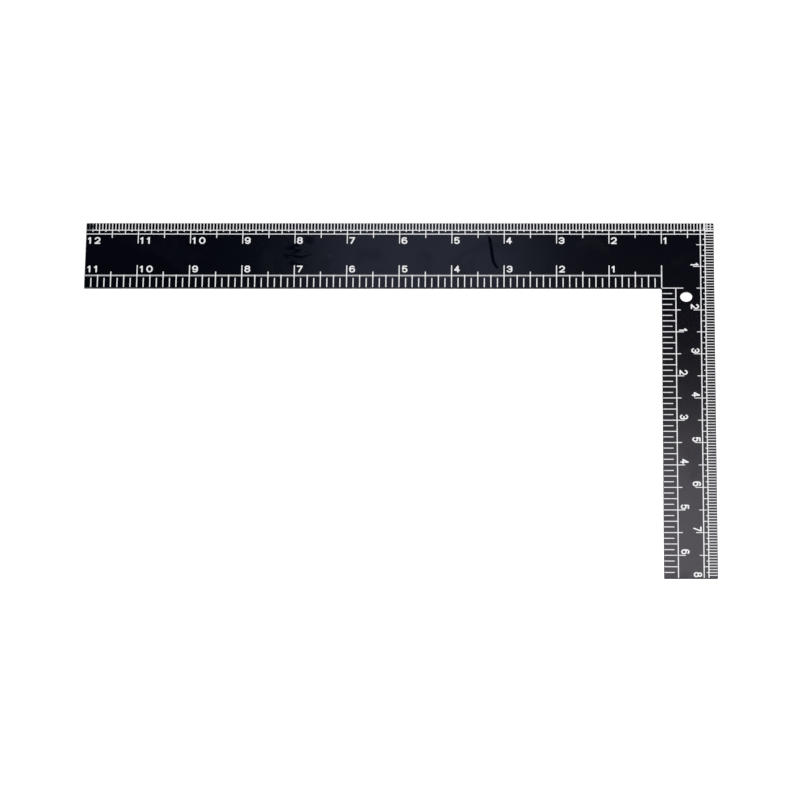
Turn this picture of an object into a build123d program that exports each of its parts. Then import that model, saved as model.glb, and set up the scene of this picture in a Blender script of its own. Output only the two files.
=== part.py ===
from build123d import *

import os
from math import acos, atan2, degrees, hypot
from typing import NamedTuple

# Carpenter's steel square, 12 x 8 in. The wide arm is the body, the narrow one the tongue.
# Origin: outer corner of the heel, on the back face. The body runs along -X, the tongue
# along -Y, and +Z comes out of the front face. Millimetres.

# ---- The steel plate ----
INCH = 25.4
BODY_LENGTH = 12 * INCH
BODY_WIDTH = 1.5 * INCH
TONGUE_LENGTH = 8 * INCH
TONGUE_WIDTH = 1.0 * INCH
THICKNESS = 1.0
OUTER_CORNER_RADIUS = 0.4
INSIDE_CORNER_RADIUS = 1.0
EDGE_BREAK = 0.15

# ---- The hanging hole, in the tongue just below the body ----
HOLE_DIAMETER = 5.8
HOLE_FROM_OUTER_EDGE = 13.6
HOLE_FROM_HEEL = 43.0

# ---- Stamped marks and the white paint in them ----
RECESS_DEPTH = 0.15
PAINT_BELOW_FLUSH = 0.03
CUTTER_OVERRUN = 0.1
OUTER_TICK_WIDTH = 0.44
INNER_TICK_WIDTH = 0.5
RULE_LINE_WIDTH = 0.5
EDGE_MARGIN = 0.2

# The outer scales run along two rule lines. They read in sixteenths of an inch on the
# front and in eighths on the back.
SIXTEENTHS_PER_INCH = 16
OUTER_RULE_LINE_1 = 4.25
OUTER_RULE_LINE_2 = 6.5
OUTER_EIGHTH_END = 5.3
CROSSHATCH_SIXTEENTHS = 4
CROSSHATCH_SIDE = OUTER_RULE_LINE_2 + RULE_LINE_WIDTH / 2

# The inner scales run along one rule line and read in eighths of an inch.
INNER_STEPS_PER_INCH = 8

# ---- Numerals, drawn with a round pen ----
NUMERAL_HEIGHT = 4.0
NUMERAL_WIDTH = 2.85
PEN_WIDTH = 0.72
ZERO_EXTRA_WIDTH = 0.3
ONE_FLAG = 0.75
DIGIT_GAP = 1.75


class Arm(NamedTuple):
    """One arm of the square, with the marks of its two scales.

    Outer distances are from the outer edge. Inner distances are from the inner edge.
    inner_corner_start is where the tick at zero begins, which meets the other arm's there.
    """

    name: str
    length: float
    width: float
    is_tongue: bool
    outer_half_end: float
    outer_inch_end: float
    outer_numeral_base: float
    inner_zero: float
    inner_corner_start: float
    inner_tick_start: float
    inner_eighth_end: float
    inner_rule_line: float
    inner_rule_width: float
    inner_half_end: float
    inner_inch_end: float
    inner_numeral_base: float
    outer_numeral_gap: float
    inner_numeral_gap: float


BODY = Arm(
    name="body",
    length=BODY_LENGTH,
    width=BODY_WIDTH,
    is_tongue=False,
    outer_half_end=8.8,
    outer_inch_end=12.1,
    outer_numeral_base=12.3,
    inner_zero=TONGUE_WIDTH,
    inner_corner_start=INNER_TICK_WIDTH / 2,
    inner_tick_start=0.5,
    inner_eighth_end=5.9,
    inner_rule_line=7.25,
    inner_rule_width=0.85,
    inner_half_end=9.6,
    inner_inch_end=13.3,
    inner_numeral_base=9.05,
    outer_numeral_gap=0.95,
    inner_numeral_gap=1.2,
)
TONGUE = Arm(
    name="tongue",
    length=TONGUE_LENGTH,
    width=TONGUE_WIDTH,
    is_tongue=True,
    outer_half_end=8.6,
    outer_inch_end=10.2,
    outer_numeral_base=11.45,
    inner_zero=BODY_WIDTH,
    inner_corner_start=0.0,
    inner_tick_start=EDGE_MARGIN,
    inner_eighth_end=5.1,
    inner_rule_line=6.8,
    inner_rule_width=RULE_LINE_WIDTH,
    inner_half_end=9.1,
    inner_inch_end=10.5,
    inner_numeral_base=8.15,
    outer_numeral_gap=0.55,
    inner_numeral_gap=0.55,
)


class FaceSide(NamedTuple):
    """A face of the square, drawn as seen by someone looking at it.

    body_direction is the way the body runs from the heel in that view, along X.
    outer_sixteenths is the finest division of the outer scales, in sixteenths of an inch.
    """

    name: str
    body_direction: int
    outer_sixteenths: int


FRONT = FaceSide("front", -1, 1)
BACK = FaceSide("back", 1, 2)


# ---- Placing marks on an arm ----
def spot(side, arm, along, inward):
    """Point at a distance along the arm from the heel, and inward from its outer edge."""
    if arm.is_tongue:
        return Vector(side.body_direction * inward, -along)
    return Vector(side.body_direction * along, -inward)


def bar(side, arm, along, inward):
    """Rectangle between two distances along the arm and two distances inward."""
    corner = spot(side, arm, along[0], inward[0])
    opposite = spot(side, arm, along[1], inward[1])
    size = opposite - corner
    return Pos((corner + opposite) / 2) * Rectangle(abs(size.X), abs(size.Y))


def tick(side, arm, along, start, end, width):
    """Tick across the arm. Its far end is round, as the stamp leaves it."""
    half = width / 2
    inset = half if end > start else -half
    straight = bar(side, arm, (along - half, along + half), (start, end - inset))
    return [straight, Pos(spot(side, arm, along, end - inset)) * Circle(half)]


# ---- Scales ----
def outer_tick_end(arm, sixteenth):
    if sixteenth % SIXTEENTHS_PER_INCH == 0:
        return arm.outer_inch_end
    if sixteenth % (SIXTEENTHS_PER_INCH // 2) == 0:
        return arm.outer_half_end
    if sixteenth % (SIXTEENTHS_PER_INCH // 4) == 0:
        return OUTER_RULE_LINE_2
    if sixteenth % (SIXTEENTHS_PER_INCH // 8) == 0:
        return OUTER_EIGHTH_END
    return OUTER_RULE_LINE_1


def outer_marks(side, arm, sixteenths, along):
    """Ticks at the given sixteenths, and both rule lines over a stretch of the arm."""
    half_line = RULE_LINE_WIDTH / 2
    marks = []
    for line in (OUTER_RULE_LINE_1, OUTER_RULE_LINE_2):
        marks.append(bar(side, arm, along, (line - half_line, line + half_line)))
    for sixteenth in sixteenths:
        place = sixteenth * INCH / SIXTEENTHS_PER_INCH
        end = outer_tick_end(arm, sixteenth)
        marks += tick(side, arm, place, EDGE_MARGIN, end, OUTER_TICK_WIDTH)
    return marks


def outer_scale(side, arm):
    """The outer scale from the crosshatch to the end of the arm."""
    step = side.outer_sixteenths
    arm_end = round(arm.length / INCH * SIXTEENTHS_PER_INCH)
    sixteenths = range(CROSSHATCH_SIXTEENTHS + step, arm_end, step)
    along = (CROSSHATCH_SIDE, arm.length - EDGE_MARGIN)
    return Sketch() + outer_marks(side, arm, sixteenths, along)


def crosshatch(side):
    """The square at the heel where the two outer scales run over each other."""
    step = side.outer_sixteenths
    sixteenths = range(step, CROSSHATCH_SIXTEENTHS + step, step)
    along = (EDGE_MARGIN, CROSSHATCH_SIDE)
    marks = outer_marks(side, BODY, sixteenths, along)
    return Sketch() + marks + outer_marks(side, TONGUE, sixteenths, along)


def inner_tick_end(arm, step):
    if step % INNER_STEPS_PER_INCH == 0:
        return arm.inner_inch_end
    if step % (INNER_STEPS_PER_INCH // 2) == 0:
        return arm.inner_half_end
    if step % (INNER_STEPS_PER_INCH // 4) == 0:
        return arm.inner_rule_line
    return arm.inner_eighth_end


def inner_scale(side, arm):
    """The inner scale, which counts from the inside corner."""
    half_line = arm.inner_rule_width / 2
    line = arm.width - arm.inner_rule_line
    along = (arm.inner_zero, arm.length - EDGE_MARGIN)
    marks = [bar(side, arm, along, (line - half_line, line + half_line))]
    for step in range(round((arm.length - arm.inner_zero) / INCH * INNER_STEPS_PER_INCH)):
        place = arm.inner_zero + step * INCH / INNER_STEPS_PER_INCH
        start = arm.width - (arm.inner_tick_start if step else arm.inner_corner_start)
        end = arm.width - inner_tick_end(arm, step)
        marks += tick(side, arm, place, start, end, INNER_TICK_WIDTH)
    return Sketch() + marks


# ---- Digits ----
# Each digit is drawn by the centre of the pen, in a box that starts at (0, 0).
# Arcs start at an angle from +X and sweep clockwise, both in degrees.
PEN_BOX_WIDTH = NUMERAL_WIDTH - PEN_WIDTH
PEN_BOX_HEIGHT = NUMERAL_HEIGHT - PEN_WIDTH
BIG_RADIUS = PEN_BOX_WIDTH / 2
TWO_ARC_START = 165
THREE_ARC_SWEEP = 155
SIX_BOWL_HEIGHT = 0.60 * PEN_BOX_HEIGHT
EIGHT_BOWL_HEIGHT = 0.56 * PEN_BOX_HEIGHT
EIGHT_TOP_WIDTH = 0.88 * PEN_BOX_WIDTH
FOUR_STEM = 0.68 * PEN_BOX_WIDTH
FOUR_BAR_HEIGHT = 0.30 * PEN_BOX_HEIGHT
SEVEN_FOOT = 0.30 * PEN_BOX_WIDTH
THREE_BAR_START = 0.42 * PEN_BOX_WIDTH
FIVE_STEM = 0.16 * PEN_BOX_WIDTH
FIVE_FLAG_END = 0.92 * PEN_BOX_WIDTH
FIVE_BOWL_RADIUS = 0.49 * PEN_BOX_WIDTH
FIVE_BOWL_START = 150
FIVE_BOWL_SWEEP = 300
SIX_TAIL_SWEEP = 140


def pen(*edges):
    """The mark of a round pen drawn along joined lines and arcs."""
    return SlotArc(Wire(list(edges)), PEN_WIDTH)


def pen_line(start, end):
    """The mark of a round pen drawn straight between two points."""
    middle = (Vector(*start) + Vector(*end)) / 2
    return pen(Line(start, middle), Line(middle, end))


def loop(width, height):
    """A closed pen mark with full round sides, wider than it is high."""
    outside = SlotOverall(width + PEN_WIDTH, height + PEN_WIDTH)
    return outside - SlotOverall(width - PEN_WIDTH, height - PEN_WIDTH)


def digit_zero():
    half_width = (PEN_BOX_WIDTH + ZERO_EXTRA_WIDTH) / 2
    half_height = PEN_BOX_HEIGHT / 2
    half_pen = PEN_WIDTH / 2
    outside = Ellipse(half_width + half_pen, half_height + half_pen)
    ring = outside - Ellipse(half_width - half_pen, half_height - half_pen)
    return Pos(half_width, half_height) * ring


def digit_one():
    top = (ONE_FLAG, PEN_BOX_HEIGHT)
    return pen(Line((0, PEN_BOX_HEIGHT - ONE_FLAG), top), Line(top, (ONE_FLAG, 0)))


def digit_two():
    # The neck runs tangent from the top arc to the lower left corner.
    centre = (BIG_RADIUS, PEN_BOX_HEIGHT - BIG_RADIUS)
    to_corner = degrees(atan2(-centre[1], -centre[0]))
    arc_end = to_corner + degrees(acos(BIG_RADIUS / hypot(*centre)))
    top = CenterArc(centre, BIG_RADIUS, TWO_ARC_START, arc_end - TWO_ARC_START)
    return pen(top, Line(top @ 1, (0, 0)), Line((0, 0), (PEN_BOX_WIDTH, 0)))


def digit_three():
    waist = PEN_BOX_HEIGHT / 2
    upper = PEN_BOX_HEIGHT - BIG_RADIUS
    small_radius = upper - waist
    shoulder = PEN_BOX_WIDTH - small_radius
    top = pen(
        CenterArc((BIG_RADIUS, upper), BIG_RADIUS, THREE_ARC_SWEEP, -THREE_ARC_SWEEP),
        CenterArc((shoulder, upper), small_radius, 0, -90),
        Line((shoulder, waist), (THREE_BAR_START, waist)),
    )
    bottom = pen(
        CenterArc((shoulder, BIG_RADIUS), small_radius, 90, -90),
        CenterArc((BIG_RADIUS, BIG_RADIUS), BIG_RADIUS, 0, -THREE_ARC_SWEEP),
    )
    return top + bottom


def digit_four():
    top = (FOUR_STEM, PEN_BOX_HEIGHT)
    left = (0, FOUR_BAR_HEIGHT)
    hook = pen(Line((PEN_BOX_WIDTH, FOUR_BAR_HEIGHT), left), Line(left, top))
    return hook + pen_line(top, (FOUR_STEM, 0))


def digit_five():
    top_left = (FIVE_STEM, PEN_BOX_HEIGHT)
    centre = (PEN_BOX_WIDTH - FIVE_BOWL_RADIUS, FIVE_BOWL_RADIUS)
    bowl = CenterArc(centre, FIVE_BOWL_RADIUS, FIVE_BOWL_START, -FIVE_BOWL_SWEEP)
    flag = pen(
        Line((FIVE_FLAG_END, PEN_BOX_HEIGHT), top_left),
        Line(top_left, bowl @ 0),
    )
    return flag + pen(bowl)


def digit_six():
    upper = PEN_BOX_HEIGHT - BIG_RADIUS
    stem = Line((0, SIX_BOWL_HEIGHT / 2), (0, upper))
    tail = pen(stem, CenterArc((BIG_RADIUS, upper), BIG_RADIUS, 180, -SIX_TAIL_SWEEP))
    bowl = Pos(BIG_RADIUS, SIX_BOWL_HEIGHT / 2) * loop(PEN_BOX_WIDTH, SIX_BOWL_HEIGHT)
    return tail + bowl


def digit_seven():
    corner = (PEN_BOX_WIDTH, PEN_BOX_HEIGHT)
    return pen(Line((0, PEN_BOX_HEIGHT), corner), Line(corner, (SEVEN_FOOT, 0)))


def digit_eight():
    top_height = PEN_BOX_HEIGHT - EIGHT_BOWL_HEIGHT
    bottom = loop(PEN_BOX_WIDTH, EIGHT_BOWL_HEIGHT)
    top = loop(EIGHT_TOP_WIDTH, top_height)
    top_centre = PEN_BOX_HEIGHT - top_height / 2
    return Pos(BIG_RADIUS, EIGHT_BOWL_HEIGHT / 2) * bottom + Pos(BIG_RADIUS, top_centre) * top


def digit_nine():
    box_centre = Pos(PEN_BOX_WIDTH, PEN_BOX_HEIGHT)
    return box_centre * Rot(0, 0, 180) * digit_six()


DIGITS = {
    "0": digit_zero(),
    "1": digit_one(),
    "2": digit_two(),
    "3": digit_three(),
    "4": digit_four(),
    "5": digit_five(),
    "6": digit_six(),
    "7": digit_seven(),
    "8": digit_eight(),
    "9": digit_nine(),
}
DIGIT_WIDTHS = {name: shape.bounding_box().size.X for name, shape in DIGITS.items()}


# ---- Numerals ----
def numeral(number):
    """The number's digits from (0, 0), and their overall width."""
    shapes = []
    width = -DIGIT_GAP
    for name in str(number):
        left = width + DIGIT_GAP
        shapes.append(Pos(left + PEN_WIDTH / 2, PEN_WIDTH / 2) * DIGITS[name])
        width = left + DIGIT_WIDTHS[name]
    return shapes, width


def numerals(side, arm, first_along, count, base, gap):
    """Numbers 1 to count, each on the heel side of its tick, tops to the outer edge."""
    turn = side.body_direction * 90 if arm.is_tongue else 0
    reads_to_heel = arm.is_tongue == (side is BACK)
    placed = []
    for number in range(1, count + 1):
        shapes, width = numeral(number)
        near_tick = first_along + (number - 1) * INCH - gap
        start = near_tick if reads_to_heel else near_tick - width
        frame = Pos(spot(side, arm, start, base)) * Rot(0, 0, turn)
        placed += [frame * shape for shape in shapes]
    return Sketch() + placed


def outer_numerals(side, arm):
    count = round(arm.length / INCH)
    return numerals(side, arm, INCH, count, arm.outer_numeral_base, arm.outer_numeral_gap)


def inner_numerals(side, arm):
    count = int((arm.length - arm.inner_zero) / INCH)
    base = arm.width - arm.inner_numeral_base
    first = arm.inner_zero + INCH
    return numerals(side, arm, first, count, base, arm.inner_numeral_gap)


# ---- The plate and its finish ----
def plain_plate():
    """The L-shaped plate with its hole and broken edges, before it is stamped."""
    outline = Polyline(
        (0, 0),
        (-BODY_LENGTH, 0),
        (-BODY_LENGTH, -BODY_WIDTH),
        (-TONGUE_WIDTH, -BODY_WIDTH),
        (-TONGUE_WIDTH, -TONGUE_LENGTH),
        (0, -TONGUE_LENGTH),
        close=True,
    )
    profile = make_face(outline)
    inside_corner = (-TONGUE_WIDTH, -BODY_WIDTH)
    outside = profile.vertices().sort_by_distance(inside_corner)[1:]
    profile = fillet(outside, OUTER_CORNER_RADIUS)
    inside = profile.vertices().sort_by_distance(inside_corner)[0]
    profile = fillet(inside, INSIDE_CORNER_RADIUS)
    profile -= Pos(-HOLE_FROM_OUTER_EDGE, -HOLE_FROM_HEEL) * Circle(HOLE_DIAMETER / 2)
    plate = extrude(profile, THICKNESS)
    rims = plate.edges().group_by(Axis.Z)[0] + plate.edges().group_by(Axis.Z)[-1]
    return chamfer(rims, EDGE_BREAK)


def marks_of(side):
    """Every painted mark of one face, by node name, flat and seen from that face."""
    marks = {f"{side.name}_heel_crosshatch": crosshatch(side)}
    for arm in (BODY, TONGUE):
        prefix = f"{side.name}_{arm.name}"
        marks[f"{prefix}_outer_graduations"] = outer_scale(side, arm)
        marks[f"{prefix}_inner_graduations"] = inner_scale(side, arm)
        marks[f"{prefix}_outer_numerals"] = outer_numerals(side, arm)
        marks[f"{prefix}_inner_numerals"] = inner_numerals(side, arm)
    return marks


def stand_on_face(side, shape):
    """Turns a solid drawn from z = 0 up, as seen from a face, into its place there."""
    if side is FRONT:
        return Pos(0, 0, THICKNESS - RECESS_DEPTH) * shape
    return Pos(0, 0, RECESS_DEPTH) * Rot(0, 180, 0) * shape


def main():
    os.makedirs("parts", exist_ok=True)
    nodes = {}
    recesses = []
    for side in (FRONT, BACK):
        for name, flat in marks_of(side).items():
            cutter = extrude(flat, RECESS_DEPTH + CUTTER_OVERRUN)
            paint = extrude(flat, RECESS_DEPTH - PAINT_BELOW_FLUSH)
            recesses.append(stand_on_face(side, cutter))
            nodes[name] = stand_on_face(side, paint)
    nodes["blade"] = plain_plate() - recesses
    for name, shape in nodes.items():
        export_step(shape, f"parts/{name}.step", write_pcurves=False)


if __name__ == "__main__":
    main()
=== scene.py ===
from math import cos, radians, sin
from typing import NamedTuple

import bpy
from mathutils import Matrix, Vector


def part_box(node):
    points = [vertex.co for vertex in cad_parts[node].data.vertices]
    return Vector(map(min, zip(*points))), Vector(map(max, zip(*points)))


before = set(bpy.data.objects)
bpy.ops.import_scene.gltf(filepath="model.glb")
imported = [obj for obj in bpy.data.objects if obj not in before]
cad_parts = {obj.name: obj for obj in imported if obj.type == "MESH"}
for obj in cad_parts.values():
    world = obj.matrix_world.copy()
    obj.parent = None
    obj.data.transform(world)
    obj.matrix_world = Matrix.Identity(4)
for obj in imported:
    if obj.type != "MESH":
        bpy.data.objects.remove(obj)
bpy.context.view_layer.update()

bl_info = {
    "name": "Carpenter's Steel Square",
    "version": (1, 0, 0),
    "blender": (4, 5, 0),
    "location": "View3D > Sidebar > Steel Square",
    "description": "Enamel, paint and studio for a stamped steel square",
    "category": "Object",
}

MM = 0.001
INCH = 25.4 * MM

# The blade's own measures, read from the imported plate.
BLADE_LOW, BLADE_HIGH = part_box("blade")
BODY_LENGTH = BLADE_HIGH.x - BLADE_LOW.x
TONGUE_LENGTH = BLADE_HIGH.y - BLADE_LOW.y
PLATE_THICKNESS = BLADE_HIGH.z - BLADE_LOW.z
BODY_WIDTH = 1.5 * INCH
TONGUE_WIDTH = 1.0 * INCH
PLATE_CENTRE = (BLADE_LOW + BLADE_HIGH) / 2

# Marks on the front of the body, in the blade's own axes. The crease runs down the body
# with a slight lean, and hooks towards the heel below CREASE_HOOK_Y.
TOP = PLATE_THICKNESS
CREASE_START = (-109.535 * MM, -8.0 * MM)
CREASE_LEAN = -0.13
CREASE_HOOK_Y = -21.5 * MM
CREASE_HOOK_CURVE = 65.0
CREASE_END_Y = -27.3 * MM
CREASE_WIDTH = 2.4 * MM
CREASE_SHARPNESS = 0.1 * MM
CREASE_START_FADE = 2.5 * MM
CREASE_END_FADE = 1.5 * MM
SMEAR_MIDDLE = (-200.8 * MM, -18.3 * MM, TOP)
SMEAR_REACH = 12 * MM
SMEAR_GRAIN = 3.6 * MM
SMEAR_TURN = radians(-30)
SMEAR_STRETCH = (0.45, 1.0, 1.0)
PATCH_MIDDLE = (-195.3 * MM, -10.0 * MM, TOP)
PATCH_REACH = 6 * MM
SPOT_MIDDLE = (-186.3 * MM, -19.2 * MM, TOP)
SPOT_REACH = 1.4 * MM

# Corner at the 12 in end where the paint of the last ticks is rubbed out.
RUBBED_CORNER = (-303.2 * MM, -2.2 * MM, TOP)
RUBBED_REACH = 3.4 * MM

# Inner rule line of the body, whose wide groove holds little paint between the ticks that
# reach it.
THIN_RULE_Y = 7.25 * MM - BODY_WIDTH
THIN_RULE_HALF_WIDTH = 0.5 * MM
TICK_HALF_WIDTH = 0.25 * MM
LINE_TICK_SPACING = INCH / 4

# Sizes of the enamel's clouds, roller streaks, specks and rubbed patches.
CLOUD_SIZE = 46 * MM
STREAK_SIZE = 1.3 * MM
STREAK_STRETCH = (0.12, 1.0, 1.0)
SPECK_SIZE = 0.9 * MM
RUB_SIZE = 3.5 * MM
SMUDGE_SIZE = 24 * MM
FINE_SIZE = 0.7 * MM

# How much earlier the paint turns thin on the graduations than on the numerals.
GRADUATION_THINNING = 0.06

# The large soft light: its place from the middle of the plate, and its size.
KEY_OFFSET = (0.15, -0.95, 2.1)
KEY_SIZE = (1.5, 1.5)

# The room that the enamel reflects, and the wall behind the floor's far edge.
ROOM_COLOUR = (0.009, 0.014, 0.042, 1.0)
WALL_COLOUR = (0.94, 0.94, 0.94, 1.0)


class Card(NamedTuple):
    """Small soft light that mirrors in the enamel at one place, from a height above it."""

    name: str
    place: tuple
    height: float
    size: tuple
    power: float
    colour: tuple


CARDS = (
    Card("tongue_card", (-0.5 * INCH, -9.0 * INCH, 0.0), 0.42, (0.14, 0.16), 0.21, (0.95, 0.88, 1.0)),
    Card("body_card", (-5.5 * INCH, -0.75 * INCH, 0.0), 0.34, (0.11, 0.08), 0.029, (0.60, 0.69, 1.0)),
)


# ---------------------------------------------------------------- settings
class EnamelSettings(bpy.types.PropertyGroup):
    """Black enamel on the steel blade."""

    colour: bpy.props.FloatVectorProperty(
        name="Enamel colour",
        description="Colour of the black enamel",
        subtype="COLOR",
        size=3,
        min=0.0,
        max=1.0,
        default=(0.0003, 0.0005, 0.0016),
    )
    faded_colour: bpy.props.FloatVectorProperty(
        name="Thin enamel colour",
        description="Colour where the enamel is thin or rubbed",
        subtype="COLOR",
        size=3,
        min=0.0,
        max=1.0,
        default=(0.0008, 0.0012, 0.0034),
    )
    worn_edge_colour: bpy.props.FloatVectorProperty(
        name="Worn edge colour",
        description="Grey primer and steel that shows along rubbed edges",
        subtype="COLOR",
        size=3,
        min=0.0,
        max=1.0,
        default=(0.060, 0.062, 0.068),
    )
    roughness: bpy.props.FloatProperty(
        name="Roughness",
        description="Roughness of clean enamel",
        subtype="FACTOR",
        min=0.0,
        max=1.0,
        default=0.20,
    )
    smudge_roughness: bpy.props.FloatProperty(
        name="Smudge roughness",
        description="Roughness where the enamel was handled",
        subtype="FACTOR",
        min=0.0,
        max=1.0,
        default=0.25,
    )
    polish: bpy.props.FloatProperty(
        name="Polished roughness",
        description="Share of the roughness that is left where the body was rubbed",
        subtype="FACTOR",
        min=0.0,
        max=1.0,
        default=0.4,
    )
    crease_depth: bpy.props.FloatProperty(
        name="Crease depth",
        description="Depth of the curved crease in the middle of the body",
        subtype="DISTANCE",
        unit="LENGTH",
        min=0.0,
        default=0.55 * MM,
    )
    peel_size: bpy.props.FloatProperty(
        name="Orange peel size",
        description="Width of the fine ripples in the sprayed enamel",
        subtype="DISTANCE",
        unit="LENGTH",
        min=0.0001,
        default=1.1 * MM,
    )
    peel_depth: bpy.props.FloatProperty(
        name="Orange peel depth",
        description="Depth of the fine ripples in the sprayed enamel",
        subtype="DISTANCE",
        unit="LENGTH",
        min=0.0,
        default=0.004 * MM,
    )
    wear_width: bpy.props.FloatProperty(
        name="Edge wear width",
        description="How far rubbed enamel reaches in from the edges",
        subtype="DISTANCE",
        unit="LENGTH",
        min=0.0,
        default=0.22 * MM,
    )


class PaintSettings(bpy.types.PropertyGroup):
    """White paint wiped into the stamped marks."""

    colour: bpy.props.FloatVectorProperty(
        name="Paint colour",
        description="Colour of full white paint",
        subtype="COLOR",
        size=3,
        min=0.0,
        max=1.0,
        default=(0.77, 0.77, 0.76),
    )
    thin_colour: bpy.props.FloatVectorProperty(
        name="Thin paint colour",
        description="Colour where the wipe left the paint thin",
        subtype="COLOR",
        size=3,
        min=0.0,
        max=1.0,
        default=(0.40, 0.40, 0.41),
    )
    rubbed_colour: bpy.props.FloatVectorProperty(
        name="Rubbed colour",
        description="Colour where the paint is rubbed out of its recess",
        subtype="COLOR",
        size=3,
        min=0.0,
        max=1.0,
        default=(0.020, 0.022, 0.022),
    )
    roughness: bpy.props.FloatProperty(
        name="Roughness",
        description="Roughness of the dried paint",
        subtype="FACTOR",
        min=0.0,
        max=1.0,
        default=0.55,
    )
    patch_size: bpy.props.FloatProperty(
        name="Patch size",
        description="Size of the thick and thin patches",
        subtype="DISTANCE",
        unit="LENGTH",
        min=0.0001,
        default=2.6 * MM,
    )
    grain_size: bpy.props.FloatProperty(
        name="Grain size",
        description="Size of the grain in the dried paint",
        subtype="DISTANCE",
        unit="LENGTH",
        min=0.00001,
        default=0.16 * MM,
    )


class StudioSettings(bpy.types.PropertyGroup):
    """Floor, soft lights and camera."""

    floor_colour: bpy.props.FloatVectorProperty(
        name="Floor colour",
        description="Colour of the pale floor",
        subtype="COLOR",
        size=3,
        min=0.0,
        max=1.0,
        default=(0.93, 0.93, 0.93),
    )
    floor_glow: bpy.props.FloatProperty(
        name="Floor glow",
        description="Light from under the translucent floor, as on a light table",
        min=0.0,
        default=0.22,
    )
    floor_size: bpy.props.FloatProperty(
        name="Floor size",
        description="Length of each side of the floor",
        subtype="DISTANCE",
        unit="LENGTH",
        min=1.0,
        default=40.0,
    )
    floor_gap: bpy.props.FloatProperty(
        name="Floor gap",
        description="Thin gap between the floor and the back face",
        subtype="DISTANCE",
        unit="LENGTH",
        min=0.0,
        default=0.05 * MM,
    )
    key_power: bpy.props.FloatProperty(
        name="Key power",
        description="Power of the large overhead soft light",
        subtype="POWER",
        unit="POWER",
        min=0.0,
        default=70.0,
    )
    lens: bpy.props.FloatProperty(
        name="Lens",
        description="Focal length on a 36 mm sensor, in millimetres",
        min=1.0,
        default=343.5,
    )
    distance: bpy.props.FloatProperty(
        name="Camera distance",
        description="Distance from the camera to the middle of the view",
        subtype="DISTANCE",
        unit="LENGTH",
        min=0.1,
        default=3.655,
    )
    tilt: bpy.props.FloatProperty(
        name="Camera tilt",
        description="Angle of the view away from straight down",
        subtype="ANGLE",
        unit="ROTATION",
        default=radians(33.29),
    )
    heading: bpy.props.FloatProperty(
        name="Camera heading",
        description="Turn of the view about the upright",
        subtype="ANGLE",
        unit="ROTATION",
        default=radians(2.143),
    )
    roll: bpy.props.FloatProperty(
        name="Camera roll",
        description="Turn of the camera about its own axis",
        subtype="ANGLE",
        unit="ROTATION",
        default=radians(-1.748),
    )
    aim_offset: bpy.props.FloatVectorProperty(
        name="Aim offset",
        description="Where the camera looks, from the middle of the front face",
        subtype="XYZ",
        unit="LENGTH",
        size=3,
        default=(1.3 * MM, -1.3 * MM, 0.0),
    )


# ---------------------------------------------------------------- node helpers
def new_material(name):
    """Empty node material with one shader wired to its output."""
    material = bpy.data.materials.new(name)
    material.use_nodes = True
    tree = material.node_tree
    tree.nodes.clear()
    output = tree.nodes.new("ShaderNodeOutputMaterial")
    shader = tree.nodes.new("ShaderNodeBsdfPrincipled")
    tree.links.new(shader.outputs["BSDF"], output.inputs["Surface"])
    return material, tree, shader


def object_coordinates(tree):
    """Object coordinates, in metres, shared by every texture of a material."""
    return tree.nodes.new("ShaderNodeTexCoord").outputs["Object"]


def plate_axes(tree, vector):
    """Coordinates along the body and along the tongue."""
    split = tree.nodes.new("ShaderNodeSeparateXYZ")
    tree.links.new(vector, split.inputs["Vector"])
    return split.outputs["X"], split.outputs["Y"]


def stretched(tree, vector, stretch, turn=0.0):
    """The same coordinates, multiplied along each axis and turned about the upright."""
    node = tree.nodes.new("ShaderNodeMapping")
    node.inputs["Rotation"].default_value = (0.0, 0.0, turn)
    node.inputs["Scale"].default_value = stretch
    tree.links.new(vector, node.inputs["Vector"])
    return node.outputs["Vector"]


def noise(tree, vector, size, detail=2.0, rough=0.5, distortion=0.0):
    """Cloudy value between 0 and 1 with features of about the given size."""
    node = tree.nodes.new("ShaderNodeTexNoise")
    node.inputs["Scale"].default_value = 1.0 / size
    node.inputs["Detail"].default_value = detail
    node.inputs["Roughness"].default_value = rough
    node.inputs["Distortion"].default_value = distortion
    tree.links.new(vector, node.inputs["Vector"])
    return node.outputs["Fac"]


def remap(tree, value, low, high, to_low=0.0, to_high=1.0, smooth=True):
    """Takes a value's range from low..high to to_low..to_high, held at the ends."""
    node = tree.nodes.new("ShaderNodeMapRange")
    node.interpolation_type = "SMOOTHSTEP" if smooth else "LINEAR"
    node.inputs["From Min"].default_value = low
    node.inputs["From Max"].default_value = high
    node.inputs["To Min"].default_value = to_low
    node.inputs["To Max"].default_value = to_high
    tree.links.new(value, node.inputs["Value"])
    return node.outputs["Result"]


def calculate(tree, operation, first, second=None, third=None):
    """One step of arithmetic on values or numbers."""
    node = tree.nodes.new("ShaderNodeMath")
    node.operation = operation
    for socket, value in zip(node.inputs, (first, second, third)):
        if value is None:
            continue
        if isinstance(value, (int, float)):
            socket.default_value = value
        else:
            tree.links.new(value, socket)
    return node.outputs["Value"]


def overlap(tree, *masks):
    """1 where every mask is 1, and their product elsewhere."""
    product = masks[0]
    for mask in masks[1:]:
        product = calculate(tree, "MULTIPLY", product, mask)
    return product


def mix_colour(tree, factor, first, second):
    """Blend of two colours, each a socket or three numbers."""
    node = tree.nodes.new("ShaderNodeMix")
    node.data_type = "RGBA"
    tree.links.new(factor, node.inputs["Factor"])
    for socket, value in ((node.inputs["A"], first), (node.inputs["B"], second)):
        socket = colour_socket(node, socket.name)
        if isinstance(value, bpy.types.NodeSocket):
            tree.links.new(value, socket)
        else:
            socket.default_value = (*value, 1.0)
    return next(s for s in node.outputs if s.type == "RGBA")


def colour_socket(node, name):
    """The colour input of a Mix node, which shares its name with other types."""
    return next(s for s in node.inputs if s.name == name and s.type == "RGBA")


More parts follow.
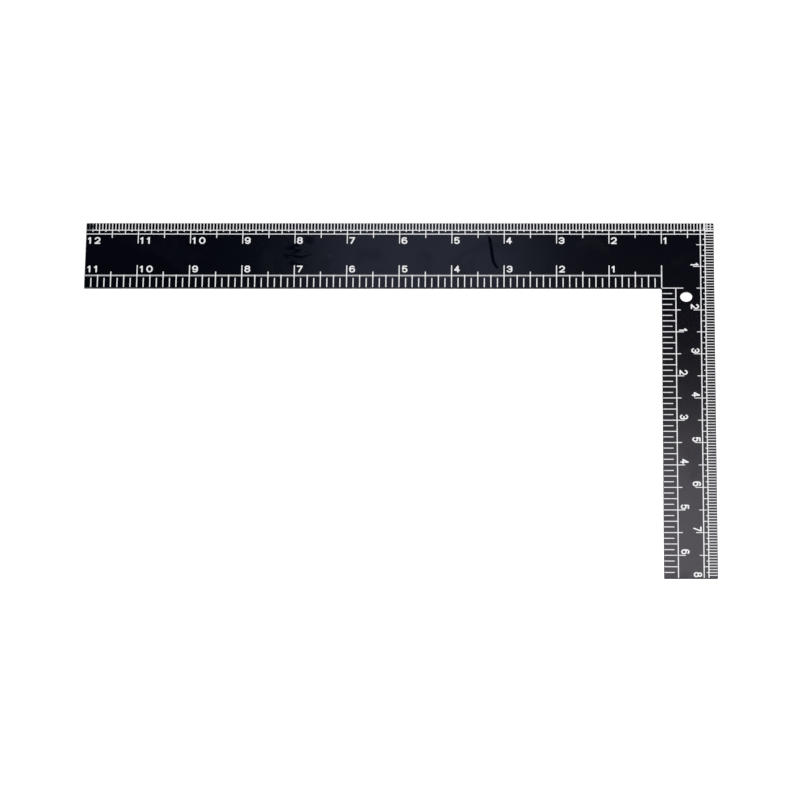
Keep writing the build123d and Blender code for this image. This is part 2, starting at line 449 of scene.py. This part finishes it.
def bump(tree, height, depth, strength, normal=None):
    """Surface relief of a given depth in metres; the strength is a number or a mask."""
    node = tree.nodes.new("ShaderNodeBump")
    if isinstance(strength, bpy.types.NodeSocket):
        tree.links.new(strength, node.inputs["Strength"])
    else:
        node.inputs["Strength"].default_value = strength
    node.inputs["Distance"].default_value = depth
    tree.links.new(height, node.inputs["Height"])
    if normal is not None:
        tree.links.new(normal, node.inputs["Normal"])
    return node.outputs["Normal"]


# ---------------------------------------------------------------- finishes
def edge_distance(tree, vector):
    """Distance in metres from the nearest straight edge of the L, from its own axes."""
    x, y = plate_axes(tree, vector)
    from_tongue_edge = calculate(tree, "MULTIPLY", x, -1.0)
    from_body_edge = calculate(tree, "MULTIPLY", y, -1.0)
    from_body_end = calculate(tree, "ADD", x, BODY_LENGTH)
    from_tongue_end = calculate(tree, "ADD", y, TONGUE_LENGTH)
    outer = calculate(tree, "MINIMUM", from_tongue_edge, from_body_edge)
    ends = calculate(tree, "MINIMUM", from_body_end, from_tongue_end)
    in_tongue = calculate(tree, "ADD", x, TONGUE_WIDTH)
    in_body = calculate(tree, "ADD", y, BODY_WIDTH)
    notch = calculate(tree, "MAXIMUM", in_tongue, in_body)
    return calculate(tree, "MINIMUM", calculate(tree, "MINIMUM", outer, ends), notch)


def distance_to(tree, vector, point):
    """Distance in metres from one point."""
    node = tree.nodes.new("ShaderNodeVectorMath")
    node.operation = "DISTANCE"
    node.inputs[1].default_value = point
    tree.links.new(vector, node.inputs[0])
    return node.outputs["Value"]


def crease(tree, vector):
    """Curved crease, sharp on its left and easing out to its right: height and mask."""
    x, y = plate_axes(tree, vector)
    start_x, start_y = CREASE_START
    straight = calculate(tree, "MULTIPLY_ADD", y, CREASE_LEAN, start_x - CREASE_LEAN * start_y)
    past_hook = calculate(tree, "MAXIMUM", calculate(tree, "SUBTRACT", CREASE_HOOK_Y, y), 0.0)
    hook = calculate(tree, "MULTIPLY", calculate(tree, "POWER", past_hook, 2.0), CREASE_HOOK_CURVE)
    beside = calculate(tree, "SUBTRACT", x, calculate(tree, "ADD", straight, hook))
    left = remap(tree, beside, 0.0, CREASE_WIDTH, 1.0, 0.0, smooth=False)
    height = calculate(tree, "SUBTRACT", 1.0, calculate(tree, "POWER", left, 2.0))
    started = remap(tree, y, start_y + CREASE_START_FADE, start_y - CREASE_START_FADE, 0.0, 1.0)
    ended = remap(tree, y, CREASE_END_Y, CREASE_END_Y + CREASE_END_FADE)
    sharp_side = remap(tree, beside, -CREASE_SHARPNESS, CREASE_SHARPNESS)
    soft_side = remap(tree, beside, CREASE_WIDTH * 0.75, CREASE_WIDTH, 1.0, 0.0)
    return height, overlap(tree, started, ended, sharp_side, soft_side)


def smear(tree, vector):
    """Broken smear with leaning fingers."""
    leaning = stretched(tree, vector, SMEAR_STRETCH, SMEAR_TURN)
    fingers = noise(tree, leaning, SMEAR_GRAIN, detail=3.0, distortion=0.6)
    from_middle = distance_to(tree, vector, SMEAR_MIDDLE)
    near = remap(tree, from_middle, SMEAR_REACH * 0.3, SMEAR_REACH, 1.0, 0.0)
    return overlap(tree, near, remap(tree, fingers, 0.48, 0.58))


def polished_marks(tree, vector):
    """Fingered smear, soft patch and small spot that were rubbed glossier than the rest."""
    from_patch = distance_to(tree, vector, PATCH_MIDDLE)
    from_spot = distance_to(tree, vector, SPOT_MIDDLE)
    patch = remap(tree, from_patch, 1 * MM, PATCH_REACH, 1.0, 0.0)
    spot = remap(tree, from_spot, 0.4 * MM, SPOT_REACH, 0.7, 0.0)
    marks = calculate(tree, "MAXIMUM", smear(tree, vector), patch)
    return calculate(tree, "MAXIMUM", marks, spot)


def enamel_material(settings):
    """Black sprayed enamel: thin places, polished marks, a crease, orange peel, worn edges."""
    material, tree, shader = new_material("black_enamelled_steel")
    where = object_coordinates(tree)

    clouds = noise(tree, where, CLOUD_SIZE, detail=3.0)
    thin = remap(tree, clouds, 0.42, 0.72)
    rolled = noise(tree, stretched(tree, where, STREAK_STRETCH), STREAK_SIZE, detail=3.0)
    rolled_thin = overlap(tree, thin, remap(tree, rolled, 0.30, 0.75))
    colour = mix_colour(tree, rolled_thin, settings.colour, settings.faded_colour)

    speck = remap(tree, noise(tree, where, SPECK_SIZE, detail=4.0), 0.80, 0.85)
    colour = mix_colour(tree, speck, colour, settings.worn_edge_colour)

    rim = remap(tree, edge_distance(tree, where), 0.0, settings.wear_width, 1.0, 0.0)
    rubbed = remap(tree, noise(tree, where, RUB_SIZE, detail=5.0, rough=0.62), 0.46, 0.66)
    wear = overlap(tree, rim, rubbed)
    colour = mix_colour(tree, wear, colour, settings.worn_edge_colour)
    tree.links.new(colour, shader.inputs["Base Color"])

    smudge_field = noise(tree, where, SMUDGE_SIZE, detail=4.0, rough=0.6, distortion=0.8)
    smudge = remap(tree, smudge_field, 0.50, 0.68)
    fine = noise(tree, where, FINE_SIZE, detail=2.0)
    rough = remap(tree, smudge, 0.0, 1.0, settings.roughness, settings.smudge_roughness)
    rough = calculate(tree, "MULTIPLY_ADD", fine, 0.04, rough)
    rough = calculate(tree, "MULTIPLY_ADD", wear, 0.18, rough)
    kept = remap(tree, polished_marks(tree, where), 0.0, 1.0, 1.0, settings.polish)
    tree.links.new(overlap(tree, rough, kept), shader.inputs["Roughness"])

    peel = noise(tree, where, settings.peel_size, detail=1.5)
    relief = bump(tree, peel, settings.peel_depth, 0.5)
    relief = bump(tree, rolled, settings.peel_depth * 0.5, 0.35, relief)
    crease_height, crease_mask = crease(tree, where)
    relief = bump(tree, crease_height, settings.crease_depth, crease_mask, relief)
    tree.links.new(relief, shader.inputs["Normal"])
    shader.inputs["Specular IOR Level"].default_value = 0.5
    return material


def thin_rule(tree, vector):
    """1 on the body's inner rule line, between the ticks that cross or meet it."""
    x, y = plate_axes(tree, vector)
    from_inside_corner = calculate(tree, "ADD", x, TONGUE_WIDTH)
    beside_line = calculate(tree, "ABSOLUTE", calculate(tree, "SUBTRACT", y, THIN_RULE_Y))
    on_line = remap(tree, beside_line, THIN_RULE_HALF_WIDTH, THIN_RULE_HALF_WIDTH * 1.2, 1.0, 0.0)
    on_body = remap(tree, from_inside_corner, 0.0, 1 * MM, 1.0, 0.0)
    beside_tick = calculate(tree, "PINGPONG", from_inside_corner, LINE_TICK_SPACING / 2)
    off_tick = remap(tree, beside_tick, TICK_HALF_WIDTH, TICK_HALF_WIDTH * 1.4)
    return overlap(tree, on_line, on_body, off_tick)


def paint_material(name, settings, thinning=0.0):
    """White paint wiped into a recess: thick and thin patches, grain and a soft sheen."""
    material, tree, shader = new_material(name)
    where = object_coordinates(tree)

    patches = noise(tree, where, settings.patch_size, detail=3.0, rough=0.55)
    thin = remap(tree, patches, 0.62 - thinning, 0.86 - thinning)
    grain = noise(tree, where, settings.grain_size, detail=3.0, rough=0.6)
    thin = overlap(tree, thin, remap(tree, grain, 0.25, 0.75, 0.45, 1.0))
    on_rule = overlap(tree, thin_rule(tree, where), remap(tree, grain, 0.2, 0.8, 0.9, 1.0))
    thin = calculate(tree, "MAXIMUM", thin, on_rule)
    colour = mix_colour(tree, thin, settings.colour, settings.thin_colour)
    from_corner = distance_to(tree, where, RUBBED_CORNER)
    near_corner = remap(tree, from_corner, RUBBED_REACH * 0.4, RUBBED_REACH, 1.0, 0.0)
    left_over = remap(tree, patches, 0.35, 0.75, 1.0, 0.7)
    colour = mix_colour(tree, overlap(tree, near_corner, left_over), colour, settings.rubbed_colour)
    tree.links.new(colour, shader.inputs["Base Color"])

    rough = calculate(tree, "MULTIPLY_ADD", grain, 0.16, settings.roughness - 0.08)
    tree.links.new(rough, shader.inputs["Roughness"])
    relief = bump(tree, grain, 0.02 * MM, 0.35)
    relief = bump(tree, patches, 0.03 * MM, 0.25, relief)
    tree.links.new(relief, shader.inputs["Normal"])
    shader.inputs["Specular IOR Level"].default_value = 0.45
    return material


def floor_material(settings):
    """Pale matte studio floor with the slightest unevenness."""
    material, tree, shader = new_material("pale_floor")
    where = object_coordinates(tree)
    shade = noise(tree, where, 0.6, detail=3.0)
    darker = [channel * 0.985 for channel in settings.floor_colour]
    colour = mix_colour(tree, shade, settings.floor_colour, darker)
    tree.links.new(colour, shader.inputs["Base Color"])
    shader.inputs["Emission Color"].default_value = (1.0, 1.0, 1.0, 1.0)
    shader.inputs["Emission Strength"].default_value = settings.floor_glow
    shader.inputs["Roughness"].default_value = 0.9
    shader.inputs["Specular IOR Level"].default_value = 0.2
    return material


def finish_nodes(names, material):
    """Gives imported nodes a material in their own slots."""
    for name in names:
        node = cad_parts[name]
        node.data.materials.clear()
        node.data.materials.append(material)


def painted_nodes(kind):
    """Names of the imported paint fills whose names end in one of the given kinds."""
    names = sorted(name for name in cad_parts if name.endswith(kind))
    if not names:
        raise RuntimeError(f"the packed square has no nodes ending in {kind}")
    return names


# ---------------------------------------------------------------- operators
class SQUARE_OT_enamel_blade(bpy.types.Operator):
    """Covers the steel blade with black enamel"""

    bl_idname = "steel_square.enamel_blade"
    bl_label = "Enamel the Blade"

    def execute(self, context):
        finish_nodes(["blade"], enamel_material(context.scene.square_enamel))
        return {"FINISHED"}


class SQUARE_OT_paint_graduations(bpy.types.Operator):
    """Paints the ticks, rule lines and crosshatches of both faces white"""

    bl_idname = "steel_square.paint_graduations"
    bl_label = "Paint the Graduations"

    def execute(self, context):
        settings = context.scene.square_paint
        white = paint_material("white_scale_paint", settings, GRADUATION_THINNING)
        finish_nodes(painted_nodes(("graduations", "crosshatch")), white)
        return {"FINISHED"}


class SQUARE_OT_paint_numerals(bpy.types.Operator):
    """Paints the numerals of both faces white"""

    bl_idname = "steel_square.paint_numerals"
    bl_label = "Paint the Numerals"

    def execute(self, context):
        settings = context.scene.square_paint
        white = paint_material("white_numeral_paint", settings)
        finish_nodes(painted_nodes(("numerals",)), white)
        return {"FINISHED"}


def add_floor(settings):
    """Square floor just under the back face."""
    half = settings.floor_size / 2
    corners = [(-half, -half, 0), (half, -half, 0), (half, half, 0), (-half, half, 0)]
    mesh = bpy.data.meshes.new("studio_floor")
    mesh.from_pydata(corners, [], [(0, 1, 2, 3)])
    floor = bpy.data.objects.new("studio_floor", mesh)
    floor.location = (PLATE_CENTRE.x, PLATE_CENTRE.y, BLADE_LOW.z - settings.floor_gap)
    floor.data.materials.append(floor_material(settings))
    bpy.context.scene.collection.objects.link(floor)


def add_soft_light(name, target, offset, size, power, colour=(1.0, 1.0, 1.0)):
    """Rectangular soft light that faces a point of the square."""
    light = bpy.data.lights.new(name, "AREA")
    light.shape = "RECTANGLE"
    light.size, light.size_y = size
    light.energy = power
    light.color = colour
    lamp = bpy.data.objects.new(name, light)
    lamp.location = target + Vector(offset)
    lamp.rotation_euler = (-Vector(offset)).to_track_quat("-Z", "Y").to_euler()
    lamp.visible_camera = False
    bpy.context.scene.collection.objects.link(lamp)


def view_axes(settings):
    """Right, up and forward of the camera, from its tilt, heading and roll."""
    turn = Matrix.Rotation(settings.heading, 3, "Z")
    right = turn @ Vector((1, 0, 0))
    up = turn @ Vector((0, cos(settings.tilt), sin(settings.tilt)))
    forward = turn @ Vector((0, sin(settings.tilt), -cos(settings.tilt)))
    rolled_right = right * cos(settings.roll) + up * sin(settings.roll)
    rolled_up = up * cos(settings.roll) - right * sin(settings.roll)
    return rolled_right, rolled_up, forward


def add_camera(settings):
    """Camera that looks down at the middle of the front face."""
    right, up, forward = view_axes(settings)
    aim = Vector((PLATE_CENTRE.x, PLATE_CENTRE.y, BLADE_HIGH.z)) + Vector(settings.aim_offset)
    camera_data = bpy.data.cameras.new("camera")
    camera_data.lens = settings.lens
    camera_data.clip_start = 0.1
    camera_data.clip_end = 100.0
    camera = bpy.data.objects.new("camera", camera_data)
    axes = Matrix((right, up, -forward)).transposed()
    camera.matrix_world = Matrix.Translation(aim - forward * settings.distance) @ axes.to_4x4()
    bpy.context.scene.collection.objects.link(camera)
    bpy.context.scene.camera = camera


def add_world():
    """Dim blue room in the reflections, and a pale wall behind the floor's far edge."""
    world = bpy.data.worlds.new("studio")
    world.use_nodes = True
    tree = world.node_tree
    tree.nodes.clear()
    room = tree.nodes.new("ShaderNodeBackground")
    room.inputs["Color"].default_value = ROOM_COLOUR
    wall = tree.nodes.new("ShaderNodeBackground")
    wall.inputs["Color"].default_value = WALL_COLOUR
    seen = tree.nodes.new("ShaderNodeLightPath")
    mix = tree.nodes.new("ShaderNodeMixShader")
    output = tree.nodes.new("ShaderNodeOutputWorld")
    tree.links.new(seen.outputs["Is Camera Ray"], mix.inputs["Fac"])
    tree.links.new(room.outputs["Background"], mix.inputs[1])
    tree.links.new(wall.outputs["Background"], mix.inputs[2])
    tree.links.new(mix.outputs["Shader"], output.inputs["Surface"])
    bpy.context.scene.world = world
    bpy.context.scene.view_settings.view_transform = "Standard"


def mirror_offset(settings, height):
    """From a point of the plate to where its reflection of the camera goes, that high up."""
    forward = view_axes(settings)[2]
    outward = Vector((forward.x, forward.y, -forward.z))
    return outward * (height / outward.z)


class SQUARE_OT_set_studio(bpy.types.Operator):
    """Lays the pale floor and sets the soft lights, their reflections and the camera"""

    bl_idname = "steel_square.set_studio"
    bl_label = "Set the Studio"

    def execute(self, context):
        settings = context.scene.square_studio
        add_floor(settings)
        add_world()
        add_soft_light("key", Vector(PLATE_CENTRE), KEY_OFFSET, KEY_SIZE, settings.key_power)
        for card in CARDS:
            offset = mirror_offset(settings, card.height)
            add_soft_light(card.name, Vector(card.place), offset, card.size, card.power, card.colour)
        add_camera(settings)
        return {"FINISHED"}


class SQUARE_PT_sidebar(bpy.types.Panel):
    """Lists the steps that finish the square"""

    bl_idname = "SQUARE_PT_sidebar"
    bl_label = "Steel Square"
    bl_space_type = "VIEW_3D"
    bl_region_type = "UI"
    bl_category = "Steel Square"

    def draw(self, context):
        layout = self.layout
        for settings in (
            context.scene.square_enamel,
            context.scene.square_paint,
            context.scene.square_studio,
        ):
            box = layout.box()
            for name in settings.__annotations__:
                box.prop(settings, name)
        for operator in OPERATORS:
            layout.operator(operator.bl_idname)


# ---------------------------------------------------------------- registration
SETTINGS = {
    "square_enamel": EnamelSettings,
    "square_paint": PaintSettings,
    "square_studio": StudioSettings,
}
OPERATORS = (
    SQUARE_OT_enamel_blade,
    SQUARE_OT_paint_graduations,
    SQUARE_OT_paint_numerals,
    SQUARE_OT_set_studio,
)


def register():
    for name, group in SETTINGS.items():
        bpy.utils.register_class(group)
        setattr(bpy.types.Scene, name, bpy.props.PointerProperty(type=group))
    for operator in OPERATORS:
        bpy.utils.register_class(operator)
    bpy.utils.register_class(SQUARE_PT_sidebar)


def unregister():
    bpy.utils.unregister_class(SQUARE_PT_sidebar)
    for operator in reversed(OPERATORS):
        bpy.utils.unregister_class(operator)
    for name, group in reversed(SETTINGS.items()):
        delattr(bpy.types.Scene, name)
        bpy.utils.unregister_class(group)


def main():
    register()
    bpy.ops.steel_square.enamel_blade()
    bpy.ops.steel_square.paint_graduations()
    bpy.ops.steel_square.paint_numerals()
    bpy.ops.steel_square.set_studio()


if __name__ == "__main__":
    main()
